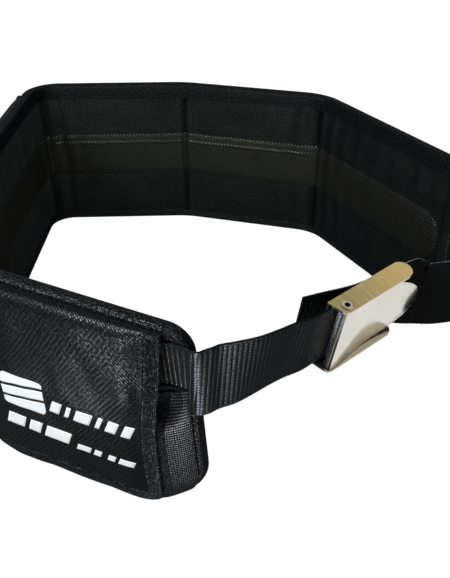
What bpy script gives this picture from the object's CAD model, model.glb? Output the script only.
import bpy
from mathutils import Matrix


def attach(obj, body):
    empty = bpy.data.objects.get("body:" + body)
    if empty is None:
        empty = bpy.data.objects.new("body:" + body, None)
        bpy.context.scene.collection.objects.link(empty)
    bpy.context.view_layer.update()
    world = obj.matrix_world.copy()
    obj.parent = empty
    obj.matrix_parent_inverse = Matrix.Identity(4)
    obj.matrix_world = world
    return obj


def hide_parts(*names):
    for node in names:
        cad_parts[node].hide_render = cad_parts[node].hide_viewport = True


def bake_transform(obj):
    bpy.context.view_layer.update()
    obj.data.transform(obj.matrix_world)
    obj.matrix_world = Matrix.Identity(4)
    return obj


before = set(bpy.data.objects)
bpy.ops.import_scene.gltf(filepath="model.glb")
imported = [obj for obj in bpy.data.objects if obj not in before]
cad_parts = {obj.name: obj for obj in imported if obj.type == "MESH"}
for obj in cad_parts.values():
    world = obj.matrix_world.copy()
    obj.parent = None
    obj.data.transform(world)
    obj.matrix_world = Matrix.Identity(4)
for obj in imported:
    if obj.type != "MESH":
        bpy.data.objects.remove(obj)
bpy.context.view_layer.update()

import math

import bmesh
import bpy
import numpy as np
from mathutils import Matrix, Vector

TO_M = 0.001
TURN = 2 * math.pi

# ---------------------------------------------------------------- dimensions (mm)
CENTRE_X, CENTRE_Y = 3.84, 1.23
SHIFT = np.array((CENTRE_X, CENTRE_Y, 0.0))
H = 150.0
# plan corners of the inner face in order (x, y), and the radii that round the five inner ones
CORNERS = [(-15.5, -215.0), (-164.8, -141.0), (-191.0, 20.0), (-189.0, 188.0),
           (-42.0, 194.0), (93.6, 157.6), (184.6, -6.0)]
FILLETS = [34.0, 60.0, 24.0, 80.0, 40.0]
# inward lean (offset per height) at the front end and first corner, and how far it eases round it
LEAN_END, LEAN_CORNER = 0.125, 0.08
LEAN_BEFORE, LEAN_AFTER = 11.0, 13.0
END_TOP, END_BOTTOM = 16.0, 40.0  # radii of the ring's end corners
PANEL_GAP = 2.4  # panels stop this far inside the ring's outline
# edge tape: offsets of its two faces, leg widths along top, bottom and ends, radius of its folds
BIND_IN, BIND_OUT = -1.1, 8.5
BIND_TOP, BIND_BOTTOM, BIND_END = 14.0, 9.0, 10.0
BIND_FOLD = 3.4
BIND_STITCH = 2.1  # from a leg's rim to its stitches
# grip band on the lining
BAND_Z0, BAND_Z1 = 54.0, 98.0
BAND_MARGINS = (44.0, 13.0)
BAND_CORNER = 20.0
BAND_STITCH = 1.9
GRIP_PITCH = 3.35
# webbing
WEB_HALF, WEB_OFF, WEB_Z, WEB_LEFT_UP = 25.0, 9.6, 117.0, 2.0
WEB_RIB = 3.0
# pockets and flaps
POCKET_W, POCKET_BACK, POCKET_Z0, POCKET_Z1 = 126.0, 10.7, 14.0, 100.0
BAG_WALL = 0.9
BAG_EASE = 0.55  # from the flap's inner clearance to the bag's front
FLAP_W_TOP, FLAP_W_BOTTOM, FLAP_T, FLAP_CORNER = 141.0, 129.0, 1.6, 11.0
FLAP_START, FLAP_END = 14.0, 34.0  # ring ends to the nearest flaps
FLAP_TAPE_W = 9.2
HINGE_OFF, HINGE_Z = 11.5, 145.0
# buckle: origin, and turn in degrees
BUCKLE_ORIGIN = (55.4, -176.0, 118.1)
BUCKLE_YAW, BUCKLE_PITCH, BUCKLE_ROLL = 38.0, -5.0, 13.5
STEEL_NAMES = ("buckle_frame", "buckle_lever", "buckle_pin")


# ---------------------------------------------------------------- number tools
def smooth(x):
    x = np.clip(x, 0.0, 1.0)
    return x * x * (3 - 2 * x)


def unit(vector):
    return vector / np.linalg.norm(vector)


def unit_rows(vectors):
    return vectors / np.linalg.norm(vectors, axis=1, keepdims=True)


def wobble(seed, x, y, low, high, count=9):
    """Smooth repeatable waviness in about -1..1; wavelengths between low and high (mm)."""
    rng = np.random.RandomState(seed)
    total = 0.0
    for _ in range(count):
        length = low * (high / low) ** rng.rand()
        angle = rng.rand() * TURN
        across = x * math.cos(angle) + y * math.sin(angle)
        total = total + np.sin(TURN * across / length + rng.rand() * TURN)
    return total / math.sqrt(count) / 1.4


def steps(start, end, step, edge=0.0):
    """Even stations; three more lie near each end, within the edge width."""
    x = np.linspace(start, end, max(2, int(round((end - start) / step)) + 1))
    if edge:
        extra = np.array([0.12, 0.45, 1.0]) * edge
        x = np.unique(np.round(np.concatenate([x, start + extra, end - extra]), 5))
    return x


def taper(depth, edge, low=0.3):
    """Thickness share at a depth from the rim, so that a sheet's edge is round."""
    share = 1 - (1 - np.clip(depth / edge, 0, 1)) ** 2
    return np.clip(np.sqrt(np.clip(share, 0, 1)), low, 1)


def inset(depth, radius):
    """How far a rounded corner draws back at a depth from its end."""
    depth = np.clip(depth, 0, radius)
    return radius - np.sqrt(np.maximum(0.0, radius * radius - (radius - depth) ** 2))


def travelled(points):
    """Distance from the first point along a polyline, at each point."""
    return np.concatenate([[0], np.cumsum(np.linalg.norm(np.diff(points, axis=0), axis=1))])


def uv_grid(u, v):
    return np.stack(np.broadcast_arrays(u[:, None], v[None, :]), -1)


def catmull(points, per):
    """Catmull-Rom curve through the points, with `per` steps in each span."""
    curve = []
    last = len(points) - 1
    for i in range(last):
        p0, p1 = points[max(0, i - 1)], points[i]
        p2, p3 = points[i + 1], points[min(last, i + 2)]
        for k in range(per):
            u = k / per
            curve.append(0.5 * ((2 * p1) + (p2 - p0) * u + (2 * p0 - 5 * p1 + 4 * p2 - p3) * u * u
                                + (3 * p1 - p0 - 3 * p2 + p3) * u ** 3))
    curve.append(points[-1])
    return np.array(curve)


# ---------------------------------------------------------------- plan path of the ring
def build_path():
    """Segments (kind, start run, length, shape) and the length of the whole path."""
    points = [np.array(p) for p in CORNERS]
    segments, run, here = [], 0.0, points[0]
    for i, radius in enumerate(FILLETS, 1):
        before = unit(points[i] - points[i - 1])
        after = unit(points[i + 1] - points[i])
        turn = -math.atan2(before[0] * after[1] - before[1] * after[0], float(before @ after))
        cut = radius * math.tan(turn / 2)
        start = points[i] - before * cut
        length = float(np.linalg.norm(start - here))
        segments.append(("line", run, length, (here, before)))
        run += length
        centre = start + np.array((before[1], -before[0])) * radius
        segments.append(("arc", run, radius * turn, (centre, before, radius)))
        run += radius * turn
        here = points[i] + after * cut
    rest = points[-1] - here
    length = float(np.linalg.norm(rest))
    segments.append(("line", run, length, (here, rest / length)))
    return segments, run + length


PATH, LENGTH = build_path()
FOLDS = [PATH[2 * i + 1][1] + PATH[2 * i + 1][2] / 2 for i in range(5)]
PANEL_ENDS = [0.0] + FOLDS + [LENGTH]
FLAP_MIDS = [FLAP_START + FLAP_W_TOP / 2] \
    + [(PANEL_ENDS[i] + PANEL_ENDS[i + 1]) / 2 for i in range(1, 5)] \
    + [LENGTH - FLAP_END - FLAP_W_TOP / 2]
BAND_START, BAND_END = BAND_MARGINS[0], LENGTH - BAND_MARGINS[1]


def plan_at(run):
    """Plan position and direction at a run: x, y, tx, ty."""
    run = np.asarray(run, float)
    x, y, tx, ty = (np.zeros_like(run) for _ in range(4))
    for i, (kind, start, length, shape) in enumerate(PATH):
        here = np.ones(run.shape, bool)
        if i:
            here &= run > start
        if i < len(PATH) - 1:
            here &= run <= start + length
        if kind == "line":
            origin, way = shape
            x[here] = origin[0] + way[0] * (run[here] - start)
            y[here] = origin[1] + way[1] * (run[here] - start)
            tx[here], ty[here] = way
        else:
            centre, way, radius = shape
            angle = (run[here] - start) / radius
            dx = way[0] * np.cos(angle) + way[1] * np.sin(angle)
            dy = way[1] * np.cos(angle) - way[0] * np.sin(angle)
            x[here], y[here] = centre[0] - dy * radius, centre[1] + dx * radius
            tx[here], ty[here] = dx, dy
    return x, y, tx, ty


def outward(run):
    _, _, tx, ty = plan_at(run)
    return np.stack([-ty, tx, 0 * tx], -1)


def lean(run):
    run = np.asarray(run, float)
    first, second = FOLDS[0], FOLDS[1] - LEAN_BEFORE
    ease = LEAN_BEFORE + LEAN_AFTER
    front = LEAN_END + (LEAN_CORNER - LEAN_END) * run / (first - LEAN_BEFORE)
    corner = LEAN_CORNER * (1.0 - 0.5 * (run - first + LEAN_BEFORE) / ease)
    side = 0.5 * LEAN_CORNER * (1.0 - np.clip((run - second) / (2 * LEAN_BEFORE), 0, 1))
    return np.where(run <= first - LEAN_BEFORE, front,
                    np.where(run <= first + LEAN_AFTER, corner, side))


def rise(run, z):
    """The top edge stands a little higher along the front-left panel."""
    return 2.3 * smooth((z - 105.0) / 40.0) * smooth((178.0 - run) / 50.0)


def ring_point(run, off, z):
    run, off, z = np.broadcast_arrays(*(np.asarray(v, float) for v in (run, off, z)))
    x, y, tx, ty = plan_at(run)
    out = off + lean(run) * (z - H)
    return np.stack([x - ty * out + CENTRE_X, y + tx * out + CENTRE_Y, z + rise(run, z)], -1)


# ---------------------------------------------------------------- frame of the buckle
BUCKLE_TURN = (Matrix.Rotation(math.radians(BUCKLE_YAW), 3, "Z")
               @ Matrix.Rotation(math.radians(BUCKLE_PITCH), 3, "Y")
               @ Matrix.Rotation(math.radians(BUCKLE_ROLL), 3, "X"))
BUCKLE_LONG = np.array(BUCKLE_TURN @ Vector((1, 0, 0)))
BUCKLE_OUT = np.array(BUCKLE_TURN @ Vector((0, -1, 0)))
BUCKLE_UP = np.array(BUCKLE_TURN @ Vector((0, 0, 1)))
BUCKLE_AT = np.array(BUCKLE_ORIGIN) + SHIFT


def buckle_point(long, out, up):
    return BUCKLE_AT + BUCKLE_LONG * long + BUCKLE_OUT * out + BUCKLE_UP * up


# ---------------------------------------------------------------- mesh tools
def grid_faces(rows, cols, base=0, wrap_cols=False, wrap_rows=False):
    i = np.arange(rows if wrap_rows else rows - 1)[:, None]
    j = np.arange(cols if wrap_cols else cols - 1)[None, :]
    i_next = (i + 1) % rows
    j_next = (j + 1) % cols
    corners = [i * cols + j, i * cols + j_next, i_next * cols + j_next, i_next * cols + j]
    return (base + np.stack(corners, -1)).reshape(-1, 4).tolist()


def make(name, verts, faces, mats, uv=None, face_mat=None):
    """A smooth mesh object from millimetre points; uv is in millimetres of cloth."""
    mesh = bpy.data.meshes.new(name)
    mesh.from_pydata((np.asarray(verts) * TO_M).tolist(), [], faces)
    if uv is not None:
        layer = mesh.uv_layers.new(name="UVMap")
        index = np.zeros(len(mesh.loops), np.int64)
        mesh.loops.foreach_get("vertex_index", index)
        layer.data.foreach_set("uv", np.asarray(uv, float)[index].astype(np.float32).ravel())
    for mat in mats:
        mesh.materials.append(mat)
    if face_mat is not None:
        mesh.polygons.foreach_set("material_index", np.asarray(face_mat, np.int32))
    work = bmesh.new()
    work.from_mesh(mesh)
    bmesh.ops.recalc_face_normals(work, faces=work.faces)
    work.to_mesh(mesh)
    work.free()
    mesh.polygons.foreach_set("use_smooth", np.ones(len(mesh.polygons), bool))
    mesh.update()
    ob = bpy.data.objects.new(name, mesh)
    bpy.context.scene.collection.objects.link(ob)
    return ob


def sheet(name, front, back, uv, mat):
    """Closed cloth sheet between two equal grids."""
    rows, cols = front.shape[:2]
    size = rows * cols
    faces = grid_faces(rows, cols) + [f[::-1] for f in grid_faces(rows, cols, size)]
    rim = [(0, j) for j in range(cols)] + [(i, cols - 1) for i in range(1, rows)]
    rim += [(rows - 1, j) for j in range(cols - 2, -1, -1)] + [(i, 0) for i in range(rows - 2, 0, -1)]
    ids = [i * cols + j for i, j in rim]
    for a, b in zip(ids, ids[1:] + ids[:1]):
        faces.append((a, b, b + size, a + size))
    verts = np.concatenate([front.reshape(-1, 3), back.reshape(-1, 3)])
    return make(name, verts, faces, [mat], np.concatenate([uv.reshape(-1, 2)] * 2))


def loft(name, rings, uv, mat, closed=False):
    """Closed sections joined along a line; capped unless the line closes on itself."""
    rows, cols = rings.shape[:2]
    faces = grid_faces(rows, cols, 0, True, closed)
    if not closed:
        faces += [tuple(range(cols)), tuple(range((rows - 1) * cols, rows * cols))[::-1]]
    return make(name, rings.reshape(-1, 3), faces, [mat], uv.reshape(-1, 2))


def resample(points, step, extra):
    """Even steps along a polyline; a second set of vectors is carried along."""
    dist = travelled(points)
    even = np.linspace(0, dist[-1], max(2, int(round(dist[-1] / step)) + 1))
    return (even,) + tuple(np.stack([np.interp(even, dist, a[:, k]) for k in range(3)], -1)
                           for a in (points, extra))


def stitches(name, rows, pitch, length, radius):
    """Sewn thread: rounded stitches one after another along each row (points, surface normals)."""
    verts, faces = [], []
    sections, sides = 6, 6
    stand, dive = 0.12, 0.34  # a stitch stands proud in its middle and dips at its ends
    shares = np.linspace(-1, 1, sections)
    profile = np.sqrt(np.clip(1 - (np.abs(shares) ** 2.6), 0.05, 1))
    for points, normals in rows:
        _, path, normal = resample(np.asarray(points, float), pitch, np.asarray(normals, float))
        way = unit_rows(np.gradient(path, axis=0))
        normal = unit_rows(normal - way * np.sum(normal * way, 1, keepdims=True))
        side = np.cross(way, normal)
        for k in range(len(path)):
            base = len(verts)
            for share, wide in zip(shares, profile):
                height = stand - dive * share ** 4
                centre = path[k] + way[k] * (share * length / 2) + normal[k] * height
                for j in range(sides):
                    a = TURN * j / sides
                    verts.append(centre + (side[k] * math.cos(a) + normal[k] * math.sin(a))
                                 * radius * wide)
            faces += grid_faces(sections, sides, base, True)
            end = base + (sections - 1) * sides
            faces += [tuple(base + j for j in range(sides)),
                      tuple(end + j for j in range(sides - 1, -1, -1))]
    return make(name, np.array(verts), faces, [MAT["thread"]])


def ride(ob, body, slot, *nodes):
    """Give the object its slot, the CAD nodes it stands for and the body it moves with."""
    if nodes:
        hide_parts(*nodes)
    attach(ob, body)


# ---------------------------------------------------------------- shader tools
class Value:
    """A shader output that can be added, subtracted and multiplied."""

    def __init__(self, tree, socket):
        self.tree, self.socket = tree, socket

    def __add__(self, other):
        return self.tree.math("ADD", self, other)

    def __radd__(self, other):
        return self.tree.math("ADD", other, self)

    def __sub__(self, other):
        return self.tree.math("SUBTRACT", self, other)

    def __rsub__(self, other):
        return self.tree.math("SUBTRACT", other, self)

    def __mul__(self, other):
        return self.tree.math("MULTIPLY", self, other)

    def __rmul__(self, other):
        return self.tree.math("MULTIPLY", other, self)


class Tree:
    """Node tree of a material or world; `empty` clears the default nodes."""

    def __init__(self, block, empty=False):
        self.block = block
        block.use_nodes = True
        self.tree = block.node_tree
        if empty:
            self.tree.nodes.clear()

    def put(self, socket, value):
        if isinstance(value, Value):
            self.tree.links.new(value.socket, socket)
        elif isinstance(value, (tuple, list)) and len(value) == 3 and socket.type == "RGBA":
            socket.default_value = (*value, 1.0)
        else:
            socket.default_value = value

    def set(self, **inputs):
        """Principled inputs, with underscores for the spaces in their names."""
        shader = self.tree.nodes["Principled BSDF"]
        for key, value in inputs.items():
            self.put(shader.inputs[key.replace("_", " ")], value)

    def node(self, kind, inputs=None, **attrs):
        node = self.tree.nodes.new("ShaderNode" + kind)
        for key, value in attrs.items():
            setattr(node, key, value)
        for key, value in (inputs or {}).items():
            self.put(node.inputs[key], value)
        return node

    def get(self, kind, output=0, inputs=None, **attrs):
        return Value(self, self.node(kind, inputs, **attrs).outputs[output])

    def math(self, op, a, b=0.0):
        return self.get("Math", 0, {0: a, 1: b, 2: 0.0}, operation=op)

    def mix(self, share, a, b):
        return self.get("Mix", 2, {0: share, 6: a, 7: b}, data_type="RGBA")

    def uv(self):
        split = self.node("SeparateXYZ", {0: self.get("TexCoord", "UV")})
        return Value(self, split.outputs[0]), Value(self, split.outputs[1])

    def obj(self):
        return self.get("TexCoord", "Object")

    def xyz(self, x, y, z=0.0):
        return self.get("CombineXYZ", 0, {0: x, 1: y, 2: z})

    def tinted(self, k, colour):
        return self.get("CombineColor", 0, {i: k * colour[i] for i in range(3)})

    def dot(self, vector, axis):
        return self.get("VectorMath", "Value", {0: vector, 1: tuple(float(x) for x in axis)},
                        operation="DOT_PRODUCT")

    def noise(self, vector, scale, detail=2.0, rough=0.55):
        return self.get("TexNoise", "Fac", {"Vector": vector, "Scale": scale, "Detail": detail,
                                            "Roughness": rough})

    def ramp(self, value, low, high):
        return self.get("MapRange", 0, {0: value, 1: low, 2: high, 3: 0.0, 4: 1.0},
                        clamp=True, interpolation_type="SMOOTHSTEP")

    def bump(self, height, dist):
        return self.get("Bump", 0, {"Height": height, "Distance": dist, "Strength": 1.0})

    def wave(self, x, pitch, phase=0.0):
        return self.math("SINE", x * (TURN / pitch) + phase)


def material_tree(name, empty=False):
    return Tree(bpy.data.materials.new(name), empty)


# ---------------------------------------------------------------- materials
def cloth(name, base, rough=0.6, spec=0.3, weave="plain", pitch_u=1.5, pitch_v=1.5, relief=0.00008,
          fleck=0.5, fleck_grey=0.10, patchy=1.5, low=0.35, high=0.95, grain=0.75, sheen=0.03,
          tint=(0.6, 0.72, 1.0), cloud=0.4, seams=(), fade=0.0):
    """Woven nylon: shiny thread crossings over a near-black ground, soft clouding, thread relief.

    Pitches are in mm. Flecks show where weave and noise (patchy, grain) pass from low to high.
    Seams are dark lines (u, half width, brightness kept); fade dims the flecks towards the back.
    """
    t = material_tree(name)
    u, v = t.uv()
    if weave == "plain":
        threads = t.wave(u, pitch_u) * t.wave(v, pitch_v)
    elif weave == "twill":
        # diagonal ridges, 0.62 to 0.78 in slope, with a weaker wave across them
        threads = t.wave(u * 0.62 + v * 0.78, pitch_u) \
            * (0.6 + t.wave(u * 0.78 - v * 0.62, pitch_v) * 0.4)
    elif weave == "ribs":
        threads = t.wave(v, pitch_v)
    else:
        threads = t.wave(u + v, pitch_u) * t.wave(u - v, pitch_u)
    place = t.xyz(u, v)
    fine = t.noise(place, scale=grain, detail=2.0, rough=0.6)
    big = t.noise(place, scale=0.035, detail=3.0, rough=0.5)
    mid = t.noise(place, scale=0.2, detail=2.0, rough=0.5)
    # weave and fine noise, balanced about a level of 0.35
    shine = t.ramp(threads * 0.55 + ((fine - 0.5) * (patchy * 2.6) + 0.35), low, high)
    if fade:
        y = t.get("SeparateXYZ", 1, {0: t.obj()})
        shine = shine * (1.0 - t.ramp(y, low=-0.15, high=0.02) * fade)
    shade = (big - 0.5) * (cloud * 2) + (mid - 0.5) * cloud
    bright = (shade + 1.0) * (0.8 + shine * 0.5)
    for seam_u, half, keep in seams:
        clear = t.ramp(t.math("ABSOLUTE", u - seam_u), 0.6, half)
        bright = bright * (keep + clear * (1.0 - keep))
    ground = t.tinted(bright, base)
    # shine makes the cloth paler, smoother and more reflective
    t.set(Base_Color=t.mix(shine * fleck, ground,
                           (fleck_grey, fleck_grey * 1.08, fleck_grey * 1.15)),
          Roughness=rough - shine * 0.14,
          Specular_IOR_Level=spec * (0.18 + shine * 1.3),
          Sheen_Weight=sheen, Sheen_Roughness=0.45, Sheen_Tint=tint,
          Normal=t.bump(threads + fine * 1.2, relief))
    return t.block


def grip_mesh():
    """Rubbery mesh: bright olive dots in offset rows over a dark ground."""
    t = material_tree("grip_mesh")
    u, v = t.uv()
    rise_a = t.math("COSINE", (u + v) * (TURN / GRIP_PITCH))
    rise_b = t.math("COSINE", (u - v) * (TURN / GRIP_PITCH))
    dot = (rise_a * 0.5 + 0.5) * (rise_b * 0.5 + 0.5)
    place = t.xyz(u, v)
    fine = t.noise(place, scale=0.8, detail=2.0, rough=0.6)
    mid = t.noise(place, scale=0.12, detail=2.0, rough=0.5)
    top = t.ramp(dot + (fine - 0.5) * 0.5, low=0.25, high=0.75)
    olive = t.tinted(0.55 + mid * 0.9, (0.0190, 0.0200, 0.0145))
    # the dots' tops are smoother and more reflective than the ground
    t.set(Base_Color=t.mix(top, (0.0046, 0.0052, 0.0046), olive), Roughness=0.6 - top * 0.22,
          Specular_IOR_Level=0.08 + top * 0.36, Normal=t.bump(dot + fine * 0.4, dist=0.00012))
    return t.block


def foam():
    t = material_tree("pad_foam")
    place = t.obj()
    cells = t.get("TexVoronoi", "Distance", {"Vector": place, "Scale": 900.0})
    big = t.noise(place, scale=40.0, detail=3.0)
    t.set(Base_Color=t.mix(big, (0.035, 0.036, 0.038), (0.06, 0.06, 0.062)), Roughness=0.95,
          Specular_IOR_Level=0.2, Normal=t.bump(cells, dist=0.0004))
    return t.block


def lead():
    t = material_tree("cast_lead")
    place = t.obj()
    grain = t.noise(place, scale=600.0, detail=4.0, rough=0.6)
    blot = t.noise(place, scale=45.0, detail=4.0, rough=0.6)
    colour = t.mix(t.ramp(blot, low=0.35, high=0.7), (0.16, 0.165, 0.175), (0.30, 0.30, 0.31))
    # blotches are rougher and stand higher than the grain
    t.set(Base_Color=colour, Metallic=0.85, Roughness=0.42 + blot * 0.3,
          Normal=t.bump(grain + blot * 2.0, dist=0.0003))
    return t.block


def white_print():
    t = material_tree("white_print")
    u, v = t.uv()
    place = t.xyz(u, v)
    threads = t.wave(u + v, pitch=1.0)
    whole = t.ramp(t.noise(place, scale=0.9, detail=4.0, rough=0.7), low=0.30, high=0.40)
    t.set(Base_Color=t.mix(whole, (0.55, 0.56, 0.56), (0.86, 0.87, 0.88)), Roughness=0.55,
          Specular_IOR_Level=0.3, Emission_Color=(0.9, 0.92, 0.95), Emission_Strength=0.50,
          Normal=t.bump(threads, dist=0.00006))
    return t.block


def heat_tint(t, colour, long, out, up):
    """Warm tint on the ears' upward faces, deeper along the buckle, with light cross scratches."""
    normal = t.get("NewGeometry", "Normal")
    mask = t.ramp(t.dot(normal, BUCKLE_UP), low=0.8, high=0.95)
    long_start = float(BUCKLE_AT @ BUCKLE_LONG) * TO_M
    up_start = float(BUCKLE_AT @ BUCKLE_UP) * TO_M
    mask = mask * t.ramp(up, up_start, up_start + 0.004)
    far = t.ramp(long, long_start + 0.005, long_start + 0.064)
    streak = t.noise(t.xyz(long * 900.0, out * 30.0), scale=1.0, detail=2.0, rough=0.7)
    warm = t.mix(far, (0.56, 0.50, 0.34), (0.98, 0.80, 0.50))
    warm = t.mix(t.ramp(streak, low=0.42, high=0.75) * 0.35, warm, (1.0, 0.93, 0.66))
    cut = t.noise(t.xyz(long * 1500.0, out * 110.0, 3.0), scale=1.0, detail=1.0, rough=0.5)
    warm = t.mix(t.ramp(cut, low=0.665, high=0.70) * 0.9, warm, (1.0, 1.0, 0.92))
    return t.mix(mask, colour, warm)


def steel(name, base, rough, grain, marks, brush=0.0, warm=False):
    """Stainless sheet brushed along one buckle axis, with fine scratches and faint smears."""
    t = material_tree(name)
    place = t.obj()
    long, out, up = (t.dot(place, axis) for axis in (BUCKLE_LONG, BUCKLE_OUT, BUCKLE_UP))
    axes = {"long": (long, out, up), "out": (out, long, up), "up": (up, long, out)}[grain]

    def stretched(scales, detail, roughness):
        vector = t.xyz(*(axis * k for axis, k in zip(axes, scales)))
        return t.noise(vector, scale=1.0, detail=detail, rough=roughness)

    # noise scales are along the brushing, then across it
    streak = stretched((25.0, 1500.0, 1500.0), detail=3.0, roughness=0.6)
    smear = t.noise(t.xyz(long, out, up), scale=55.0, detail=3.0, rough=0.5)
    fine = stretched((160.0, 5200.0, 5200.0), detail=2.0, roughness=0.6)
    scratch = t.ramp(stretched((40.0, 2300.0, 60.0), detail=1.0, roughness=0.5),
                     low=0.70, high=0.76)
    colour = t.mix(t.ramp(smear, low=0.3, high=0.75), base, tuple(min(1.0, x * 1.07) for x in base))
    if warm:
        colour = heat_tint(t, colour, long, out, up)
    # streaks, smears and scratches each roughen and raise the surface by their own share
    roughness = rough + (streak - 0.5) * (0.12 + brush)
    roughness = roughness + (smear - 0.5) * 0.10
    roughness = roughness + scratch * 0.22
    height = streak * (0.6 + brush * 4) + scratch * marks
    t.set(Base_Color=colour, Metallic=1.0, Roughness=roughness,
          Normal=t.bump(height + fine * 0.3, dist=0.000012))
    return t.block


LINING_SEAMS = [(FOLDS[0], 6.0, 0.5), (FOLDS[1], 6.0, 0.5), (FOLDS[2], 8.0, 0.22),
                (FOLDS[3], 4.5, 0.12), (FOLDS[4], 8.0, 0.25)]
TAPE = dict(rough=0.42, spec=0.75, weave="diamond", pitch_u=2.3, relief=0.00010, patchy=1.7,
            high=1.0, grain=0.6, cloud=0.3)
YARN = dict(base=(0.0048, 0.0054, 0.0055), weave="ribs", pitch_v=1.25, relief=0.00003, patchy=0.8,
            grain=0.9, sheen=0.02, cloud=0.2)
MAT = {
    "lining": cloth("lining_cloth", (0.0088, 0.0101, 0.0094), rough=0.8, spec=0.16, fleck=0.10,
                    fleck_grey=0.05, sheen=0.02, relief=0.00005, cloud=0.6, seams=LINING_SEAMS),
    "shell": cloth("outer_cloth", (0.0066, 0.0070, 0.0070), fleck=0.25, fleck_grey=0.05),
    "pocket": cloth("pocket_cloth", (0.0066, 0.0072, 0.0074), rough=0.58, spec=0.35, pitch_u=1.4,
                    pitch_v=1.4, fleck=0.3, fleck_grey=0.06),
    "flap": cloth("flap_cloth", (0.0050, 0.0056, 0.0051), rough=0.40, spec=0.75, weave="twill",
                  pitch_u=1.45, pitch_v=2.6, fleck=0.12, fleck_grey=0.06, relief=0.00005,
                  patchy=1.1, cloud=0.35),
    "binding": cloth("binding_tape", (0.0052, 0.0056, 0.0054), fleck=0.42, fleck_grey=0.085,
                     low=0.56, **TAPE),
    "rim": cloth("ring_tape", (0.0052, 0.0056, 0.0052), fleck=0.46, fleck_grey=0.09, low=0.54,
                 fade=0.72, **TAPE),
    "grip": grip_mesh(),
    "web": cloth("webbing_yarn", rough=0.30, spec=1.3, fleck=0.06, low=0.1, high=0.8, **YARN),
    "web_front": cloth("webbing_yarn_front", rough=0.36, spec=1.0, fleck=0.24, low=0.34, high=0.86,
                       **YARN),
    "gusset": cloth("gusset_knit", (0.0056, 0.0064, 0.0062), rough=0.36, spec=0.8, weave="ribs",
                    pitch_v=1.7, fleck=0.26, fleck_grey=0.08, relief=0.00004, patchy=0.7,
                    low=0.36, high=0.90),
    "thread": cloth("sewing_thread", (0.020, 0.022, 0.022), rough=0.4, spec=0.6, pitch_u=0.5,
                    pitch_v=0.5, relief=0.00002, fleck=0.0, cloud=0.1),
    "hook": cloth("hook_tape", (0.010, 0.010, 0.010), rough=0.4, spec=0.5, relief=0.0003,
                  fleck=0.4, fleck_grey=0.06),
    "loop": cloth("loop_tape", (0.010, 0.010, 0.0105), rough=0.95, spec=0.15, pitch_u=1.1,
                  pitch_v=1.1, relief=0.0002, fleck=0.4, fleck_grey=0.03, grain=1.6, sheen=0.3,
                  tint=(0.5, 0.5, 0.5)),
    "foam": foam(),
    "lead": lead(),
    "print": white_print(),
    "steel": steel("frame_steel", (0.74, 0.72, 0.69), rough=0.20, grain="out", marks=2.2,
                   brush=0.05, warm=True),
    "lever": steel("lever_steel", (0.80, 0.79, 0.77), rough=0.17, grain="long", marks=0.6,
                   brush=0.02),
    "pin": steel("pin_steel", (0.86, 0.86, 0.86), rough=0.30, grain="up", marks=0.5),
}

# ---------------------------------------------------------------- ring panels
# lining at each fold: crease depth and width, height of the waves beside it and their reach
FOLD_SHAPES = [(1.8, 3.6, 1.0, 30.0), (2.2, 4.0, 0.9, 34.0), (2.8, 3.0, 2.1, 30.0),
               (3.2, 2.4, 0.2, 14.0), (2.8, 3.4, 1.9, 40.0)]


def puff_map(run, z):
    """Padding: 0 on the seams and hems, 1 in a panel's middle; and the distance from a seam."""
    dist = np.full(np.shape(run), 1e9)
    for fold in FOLDS:
        dist = np.minimum(dist, np.abs(run - fold))
    dist = np.minimum(dist, np.minimum(run - 4.0, LENGTH - 4.0 - run))
    return smooth(dist / 24.0) * smooth((z - 8.0) / 16.0) * smooth((H - 13.0 - z) / 16.0), dist


def lining_off(run, z):
    """Inner face of the lining: crowned panels, sewn seams, creases where the ring folds."""
    run, z = np.broadcast_arrays(np.asarray(run, float), np.asarray(z, float))
    puff, dist = puff_map(run, z)
    off = -1.15 * puff
    off = off + 0.32 * wobble(11, run, z * 1.3, 26.0, 80.0) * np.clip(puff * 1.2, 0, 1)
    for k, (depth, width, wave, reach) in enumerate(FOLD_SHAPES):
        x = run - FOLDS[k]
        sway = 1.6 * np.sin(z / 23.0 + k) + 0.8 * np.sin(z / 9.0 + 2 * k)
        hem = smooth((z - 4.0) / 12.0) * smooth((H - 6.0 - z) / 14.0)
        off = off + depth * np.exp(-((x + 0.4 * sway) / width) ** 2) * (0.45 + 0.55 * hem)
        beside = np.exp(-(x / reach) ** 2) * (1 - np.exp(-(x / (width * 2.2)) ** 2))
        fade = 0.35 + 0.65 * smooth(np.abs(z - 76.0) / 50.0)
        ripple = np.sin(TURN * (x + 1.5 * sway) / (12.5 + 2.0 * k) + 0.9 * k) - 0.45
        off = off + wave * beside * fade * ripple * hem
    # soft vertical drag lines, above and below the band
    drag = wobble(17, run, z * 0.16, 13.0, 34.0) * smooth(np.abs(z - 76.0) / 26.0 - 0.55) \
        * smooth((z - 6.0) / 14.0)
    off = off + 0.5 * drag * smooth((H - 9.0 - z) / 12.0) * smooth((run - 12.0) / 20.0) \
        * smooth((LENGTH - 12.0 - run) / 20.0)
    # one short slanted ridge near the top, past the last fold
    ridge = (run - (FOLDS[4] + 33.0) - 0.12 * (z - 120.0)) / 2.2
    off = off - 0.9 * np.exp(-ridge ** 2) * smooth((z - 100.0) / 10.0) * smooth((134.0 - z) / 8.0)
    # dents along the band's edges
    for edge in (BAND_Z0, BAND_Z1):
        off = off + 0.55 * np.exp(-((z - edge) / 2.6) ** 2) * smooth((run - 40.0) / 12.0) \
            * smooth((LENGTH - 10.0 - run) / 12.0)
    # stay clear of the foam
    return np.minimum(off, np.where(dist > 13.0, 0.28, 3.6))


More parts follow.
